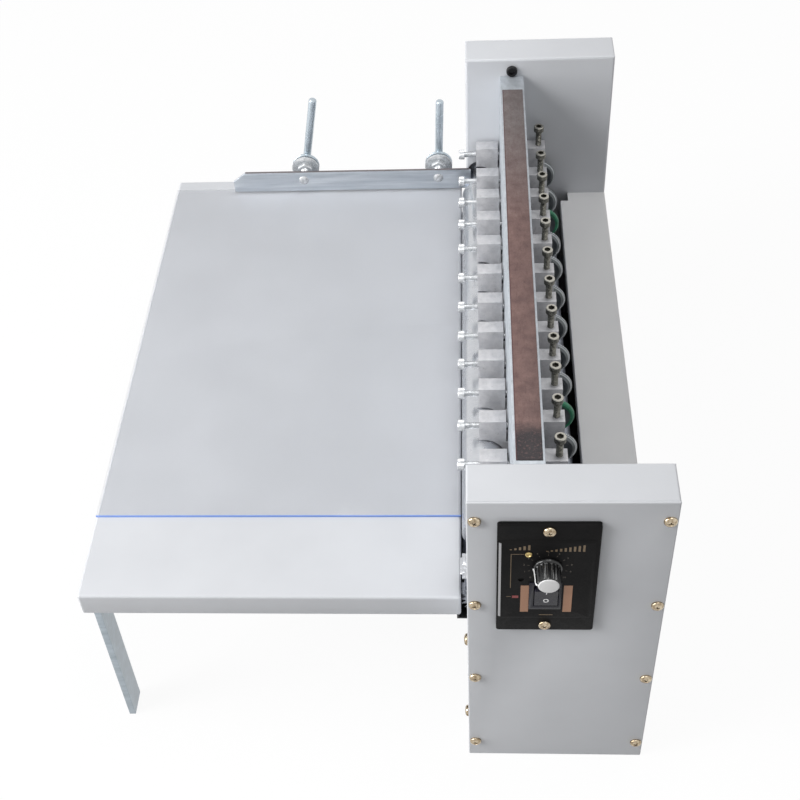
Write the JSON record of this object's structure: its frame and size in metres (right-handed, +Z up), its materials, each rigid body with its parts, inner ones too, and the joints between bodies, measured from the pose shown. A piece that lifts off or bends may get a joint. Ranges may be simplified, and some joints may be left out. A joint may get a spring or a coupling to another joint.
{
  "type": "rotary perforator",
  "caption": "Desk-top rotary perforator: feed table, driven rollers and a row of sliding perforating heads on a cross beam between two sheet-metal housings.",
  "frame": {"origin": "on the floor under the middle of the base pan, half way between the housings", "axes": "+X the way the paper travels, +Y from the operator's side to the far housing, +Z up"},
  "size_m": [0.3979, 0.5456, 0.291],
  "materials": {
    "powder_coat": "satin pale grey powder coat",
    "grey_coat": "satin mid grey powder coat",
    "plated_steel": "bright nickel-plated steel",
    "ground_steel": "ground steel",
    "tool_steel": "dark hardened steel with a ground edge",
    "zinc_steel": "zinc-plated steel",
    "cast_aluminium": "machined aluminium",
    "brown_strip": "mottled brown strip",
    "clear_sheet": "clear glossy sheet",
    "motor_enamel": "dark enamel",
    "black_plastic": "textured black plastic",
    "green_rubber": "green rubber-like tread"
  },
  "bodies": {
    "machine_frame": {"near_housing_box": "powder_coat", "near_cover_plate": "powder_coat", "far_housing_box": "powder_coat", "far_cover_plate": "powder_coat", "pan_head_screws": "plated_steel", "cross_beam": "ground_steel", "beam_strip": "brown_strip", "feed_table": "powder_coat", "table_film": "clear_sheet", "table_legs": "zinc_steel", "body_pan": "motor_enamel", "outfeed_cover": "grey_coat", "roller_bearings": "plated_steel", "gear_motor": "motor_enamel", "speed_control_unit": "black_plastic"},
    "lower_feed": {"lower_feed_roller": "ground_steel"},
    "upper_feed": {"upper_feed_roller": "ground_steel"},
    "anvil": {"anvil_roller": "ground_steel"},
    "motor_output": {"drive_gear": "ground_steel"},
    "knob": {"speed_knob": "black_plastic"},
    "rocker": {"power_rocker": "black_plastic"},
    "guide": {"side_guide": "zinc_steel"},
    "lever_left": {"clamp_lever_left": "plated_steel"},
    "lever_right": {"clamp_lever_right": "plated_steel"},
    "head_01": {"blade_holder_01": "cast_aluminium"},
    "wheel_01": {"perforating_wheel_01": "tool_steel"},
    "press_01": {"pressure_screw_01": "plated_steel"},
    "head_02": {"blade_holder_02": "cast_aluminium"},
    "wheel_02": {"perforating_wheel_02": "tool_steel"},
    "press_02": {"pressure_screw_02": "plated_steel"},
    "head_03": {"blade_holder_03": "cast_aluminium"},
    "wheel_03": {"perforating_wheel_03": "green_rubber"},
    "press_03": {"pressure_screw_03": "plated_steel"},
    "head_04": {"blade_holder_04": "cast_aluminium"},
    "wheel_04": {"perforating_wheel_04": "tool_steel"},
    "press_04": {"pressure_screw_04": "plated_steel"},
    "head_05": {"blade_holder_05": "cast_aluminium"},
    "wheel_05": {"perforating_wheel_05": "tool_steel"},
    "press_05": {"pressure_screw_05": "plated_steel"},
    "head_06": {"blade_holder_06": "cast_aluminium"},
    "wheel_06": {"perforating_wheel_06": "tool_steel"},
    "press_06": {"pressure_screw_06": "plated_steel"},
    "head_07": {"blade_holder_07": "cast_aluminium"},
    "wheel_07": {"perforating_wheel_07": "tool_steel"},
    "press_07": {"pressure_screw_07": "plated_steel"},
    "head_08": {"blade_holder_08": "cast_aluminium"},
    "wheel_08": {"perforating_wheel_08": "tool_steel"},
    "press_08": {"pressure_screw_08": "plated_steel"},
    "head_09": {"blade_holder_09": "cast_aluminium"},
    "wheel_09": {"perforating_wheel_09": "tool_steel"},
    "press_09": {"pressure_screw_09": "plated_steel"},
    "head_10": {"blade_holder_10": "cast_aluminium"},
    "wheel_10": {"perforating_wheel_10": "green_rubber"},
    "press_10": {"pressure_screw_10": "plated_steel"},
    "head_11": {"blade_holder_11": "cast_aluminium"},
    "wheel_11": {"perforating_wheel_11": "tool_steel"},
    "press_11": {"pressure_screw_11": "plated_steel"},
    "head_12": {"blade_holder_12": "cast_aluminium"},
    "wheel_12": {"perforating_wheel_12": "tool_steel"},
    "press_12": {"pressure_screw_12": "plated_steel"}
  },
  "joints": [
    {"name": "anvil_turn", "type": "hinge", "parent": "machine_frame", "child": "anvil", "pos_m": [0.0006, 0, 0.1457], "axis": [0, 1, 0], "continuous": true},
    {"name": "lower_feed_turn", "type": "hinge", "parent": "machine_frame", "child": "lower_feed", "pos_m": [-0.052, 0, 0.1457], "axis": [0, 1, 0], "continuous": true},
    {"name": "upper_feed_turn", "type": "hinge", "parent": "machine_frame", "child": "upper_feed", "pos_m": [-0.052, 0, 0.176], "axis": [0, 1, 0], "continuous": true},
    {"name": "motor_output_turn", "type": "hinge", "parent": "machine_frame", "child": "motor_output", "pos_m": [-0.0257, -0.221, 0.10882], "axis": [0, 1, 0], "continuous": true},
    {"name": "speed_knob_turn", "type": "hinge", "parent": "machine_frame", "child": "knob", "pos_m": [-0.0132, -0.265, 0.234], "axis": [0, 1, 0], "range_deg": [-150, 150]},
    {"name": "power_rocker_tilt", "type": "hinge", "parent": "machine_frame", "child": "rocker", "pos_m": [-0.0132, -0.262, 0.2045], "axis": [1, 0, 0], "range_deg": [-14, 0]},
    {"name": "side_guide_slide", "type": "slide", "parent": "machine_frame", "child": "guide", "axis": [0, 1, 0], "range_m": [-0.006, 0]},
    {"name": "left_lever_turn", "type": "hinge", "parent": "machine_frame", "child": "lever_left", "pos_m": [-0.213, 0.252, 0.172], "axis": [0, 1, 0], "range_deg": [-95, 80]},
    {"name": "right_lever_turn", "type": "hinge", "parent": "machine_frame", "child": "lever_right", "pos_m": [-0.089, 0.252, 0.172], "axis": [0, 1, 0], "range_deg": [-90, 14]},
    {"name": "head_01_slide", "type": "slide", "parent": "machine_frame", "child": "head_01", "axis": [0, 1, 0], "range_m": [-0.0275, 0.003]},
    {"name": "wheel_01_turn", "type": "hinge", "parent": "head_01", "child": "wheel_01", "pos_m": [0.0006, 0.2205, 0.177], "axis": [0, 1, 0], "continuous": true},
    {"name": "pressure_screw_01_turn", "type": "hinge", "parent": "head_01", "child": "press_01", "pos_m": [0.0006, 0.2205, 0.2105], "axis": [0, 0, 1], "range_deg": [-180, 180]},
    {"name": "head_02_slide", "type": "slide", "parent": "machine_frame", "child": "head_02", "axis": [0, 1, 0], "range_m": [-0.018, 0.0275]},
    {"name": "wheel_02_turn", "type": "hinge", "parent": "head_02", "child": "wheel_02", "pos_m": [0.0006, 0.1805, 0.177], "axis": [0, 1, 0], "continuous": true},
    {"name": "pressure_screw_02_turn", "type": "hinge", "parent": "head_02", "child": "press_02", "pos_m": [0.0006, 0.1805, 0.2105], "axis": [0, 0, 1], "range_deg": [-180, 180]},
    {"name": "head_03_slide", "type": "slide", "parent": "machine_frame", "child": "head_03", "axis": [0, 1, 0], "range_m": [-0.018, 0.018]},
    {"name": "wheel_03_turn", "type": "hinge", "parent": "head_03", "child": "wheel_03", "pos_m": [0.0006, 0.15, 0.177], "axis": [0, 1, 0], "continuous": true},
    {"name": "pressure_screw_03_turn", "type": "hinge", "parent": "head_03", "child": "press_03", "pos_m": [0.0006, 0.15, 0.2105], "axis": [0, 0, 1], "range_deg": [-180, 180]},
    {"name": "head_04_slide", "type": "slide", "parent": "machine_frame", "child": "head_04", "axis": [0, 1, 0], "range_m": [-0.02, 0.018]},
    {"name": "wheel_04_turn", "type": "hinge", "parent": "head_04", "child": "wheel_04", "pos_m": [0.0006, 0.1195, 0.177], "axis": [0, 1, 0], "continuous": true},
    {"name": "pressure_screw_04_turn", "type": "hinge", "parent": "head_04", "child": "press_04", "pos_m": [0.0006, 0.1195, 0.2105], "axis": [0, 0, 1], "range_deg": [-180, 180]},
    {"name": "head_05_slide", "type": "slide", "parent": "machine_frame", "child": "head_05", "axis": [0, 1, 0], "range_m": [-0.0245, 0.02]},
    {"name": "wheel_05_turn", "type": "hinge", "parent": "head_05", "child": "wheel_05", "pos_m": [0.0006, 0.087, 0.177], "axis": [0, 1, 0], "continuous": true},
    {"name": "pressure_screw_05_turn", "type": "hinge", "parent": "head_05", "child": "press_05", "pos_m": [0.0006, 0.087, 0.2105], "axis": [0, 0, 1], "range_deg": [-180, 180]},
    {"name": "head_06_slide", "type": "slide", "parent": "machine_frame", "child": "head_06", "axis": [0, 1, 0], "range_m": [-0.0225, 0.0245]},
    {"name": "wheel_06_turn", "type": "hinge", "parent": "head_06", "child": "wheel_06", "pos_m": [0.0006, 0.05, 0.177], "axis": [0, 1, 0], "continuous": true},
    {"name": "pressure_screw_06_turn", "type": "hinge", "parent": "head_06", "child": "press_06", "pos_m": [0.0006, 0.05, 0.2105], "axis": [0, 0, 1], "range_deg": [-180, 180]},
    {"name": "head_07_slide", "type": "slide", "parent": "machine_frame", "child": "head_07", "axis": [0, 1, 0], "range_m": [-0.0215, 0.0225]},
    {"name": "wheel_07_turn", "type": "hinge", "parent": "head_07", "child": "wheel_07", "pos_m": [0.0006, 0.015, 0.177], "axis": [0, 1, 0], "continuous": true},
    {"name": "pressure_screw_07_turn", "type": "hinge", "parent": "head_07", "child": "press_07", "pos_m": [0.0006, 0.015, 0.2105], "axis": [0, 0, 1], "range_deg": [-180, 180]},
    {"name": "head_08_slide", "type": "slide", "parent": "machine_frame", "child": "head_08", "axis": [0, 1, 0], "range_m": [-0.0185, 0.0215]},
    {"name": "wheel_08_turn", "type": "hinge", "parent": "head_08", "child": "wheel_08", "pos_m": [0.0006, -0.019, 0.177], "axis": [0, 1, 0], "continuous": true},
    {"name": "pressure_screw_08_turn", "type": "hinge", "parent": "head_08", "child": "press_08", "pos_m": [0.0006, -0.019, 0.2105], "axis": [0, 0, 1], "range_deg": [-180, 180]},
    {"name": "head_09_slide", "type": "slide", "parent": "machine_frame", "child": "head_09", "axis": [0, 1, 0], "range_m": [-0.0185, 0.0185]},
    {"name": "wheel_09_turn", "type": "hinge", "parent": "head_09", "child": "wheel_09", "pos_m": [0.0006, -0.05, 0.177], "axis": [0, 1, 0], "continuous": true},
    {"name": "pressure_screw_09_turn", "type": "hinge", "parent": "head_09", "child": "press_09", "pos_m": [0.0006, -0.05, 0.2105], "axis": [0, 0, 1], "range_deg": [-180, 180]},
    {"name": "head_10_slide", "type": "slide", "parent": "machine_frame", "child": "head_10", "axis": [0, 1, 0], "range_m": [-0.02, 0.0185]},
    {"name": "wheel_10_turn", "type": "hinge", "parent": "head_10", "child": "wheel_10", "pos_m": [0.0006, -0.081, 0.177], "axis": [0, 1, 0], "continuous": true},
    {"name": "pressure_screw_10_turn", "type": "hinge", "parent": "head_10", "child": "press_10", "pos_m": [0.0006, -0.081, 0.2105], "axis": [0, 0, 1], "range_deg": [-180, 180]},
    {"name": "head_11_slide", "type": "slide", "parent": "machine_frame", "child": "head_11", "axis": [0, 1, 0], "range_m": [-0.025, 0.02]},
    {"name": "wheel_11_turn", "type": "hinge", "parent": "head_11", "child": "wheel_11", "pos_m": [0.0006, -0.1135, 0.177], "axis": [0, 1, 0], "continuous": true},
    {"name": "pressure_screw_11_turn", "type": "hinge", "parent": "head_11", "child": "press_11", "pos_m": [0.0006, -0.1135, 0.2105], "axis": [0, 0, 1], "range_deg": [-180, 180]},
    {"name": "head_12_slide", "type": "slide", "parent": "machine_frame", "child": "head_12", "axis": [0, 1, 0], "range_m": [-0.056, 0.025]},
    {"name": "wheel_12_turn", "type": "hinge", "parent": "head_12", "child": "wheel_12", "pos_m": [0.0006, -0.151, 0.177], "axis": [0, 1, 0], "continuous": true},
    {"name": "pressure_screw_12_turn", "type": "hinge", "parent": "head_12", "child": "press_12", "pos_m": [0.0006, -0.151, 0.2105], "axis": [0, 0, 1], "range_deg": [-180, 180]}
  ],
  "couplings": [
    {"joint": "lower_feed_turn", "follows": "anvil_turn", "ratio": 1},
    {"joint": "upper_feed_turn", "follows": "anvil_turn", "ratio": -1},
    {"joint": "motor_output_turn", "follows": "anvil_turn", "ratio": -0.5},
    {"joint": "wheel_01_turn", "follows": "anvil_turn", "ratio": -0.9375},
    {"joint": "wheel_02_turn", "follows": "anvil_turn", "ratio": -0.9375},
    {"joint": "wheel_03_turn", "follows": "anvil_turn", "ratio": -0.9375},
    {"joint": "wheel_04_turn", "follows": "anvil_turn", "ratio": -0.9375},
    {"joint": "wheel_05_turn", "follows": "anvil_turn", "ratio": -0.9375},
    {"joint": "wheel_06_turn", "follows": "anvil_turn", "ratio": -0.9375},
    {"joint": "wheel_07_turn", "follows": "anvil_turn", "ratio": -0.9375},
    {"joint": "wheel_08_turn", "follows": "anvil_turn", "ratio": -0.9375},
    {"joint": "wheel_09_turn", "follows": "anvil_turn", "ratio": -0.9375},
    {"joint": "wheel_10_turn", "follows": "anvil_turn", "ratio": -0.9375},
    {"joint": "wheel_11_turn", "follows": "anvil_turn", "ratio": -0.9375},
    {"joint": "wheel_12_turn", "follows": "anvil_turn", "ratio": -0.9375}
  ]
}
